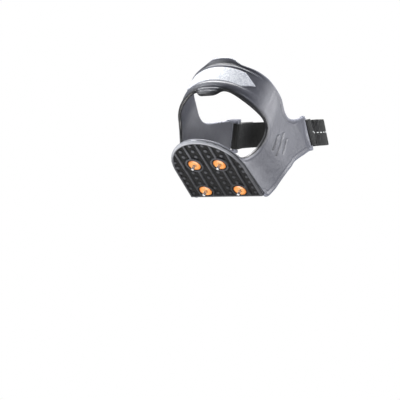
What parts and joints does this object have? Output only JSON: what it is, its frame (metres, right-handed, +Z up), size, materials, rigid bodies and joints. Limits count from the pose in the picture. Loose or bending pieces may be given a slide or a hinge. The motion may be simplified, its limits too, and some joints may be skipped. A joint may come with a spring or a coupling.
{
  "type": "shoe ice cleats",
  "caption": "Heel ice cleat for a boot: an elastic heel harness with a studded tread pad, a reflective heel strip and a hook-and-loop instep strap.",
  "frame": {"origin": "on the ground under the middle of the cleat's box, the height zero being the plane of the four stud tips", "axes": "+Z up, +Y towards the toe, +X to the wearer's right"},
  "size_m": [0.0962, 0.159, 0.1472],
  "materials": {
    "harness_tpe": "matte grey elastomer",
    "tread_rubber": "matte black rubber",
    "stud_head": "satin orange",
    "hard_metal": "ground hard metal",
    "washer_steel": "plated steel",
    "reflective_tape": "retroreflective",
    "webbing": "ribbed woven webbing",
    "reflective_thread": "reflective tracer thread",
    "sewing_thread": "bonded thread",
    "loop_tape": "brushed loop pile",
    "hook_tape": "moulded hooks"
  },
  "bodies": {
    "root": {"harness": "harness_tpe", "tread_pad": "tread_rubber", "stud_body_1": "stud_head", "stud_body_2": "stud_head", "stud_body_3": "stud_head", "stud_body_4": "stud_head", "stud_tip_1": "hard_metal", "stud_tip_2": "hard_metal", "stud_tip_3": "hard_metal", "stud_tip_4": "hard_metal", "stud_washer_1": "washer_steel", "stud_washer_2": "washer_steel", "stud_washer_3": "washer_steel", "stud_washer_4": "washer_steel", "reflective_strip": "reflective_tape", "strap": "webbing", "strap_tracer": "reflective_thread", "end_stitching": "sewing_thread", "loop_patch": "loop_tape"},
    "flap": {"strap_flap": "webbing", "hook_patch": "hook_tape", "flap_tracer": "reflective_thread"}
  },
  "joints": [
    {"name": "flap_peel", "type": "hinge", "parent": "root", "child": "flap", "pos_m": [-0.04286, 0.0306, 0.10444], "axis": [0.2106, -0.7207, 0.6604], "range_deg": [0, 140]}
  ]
}
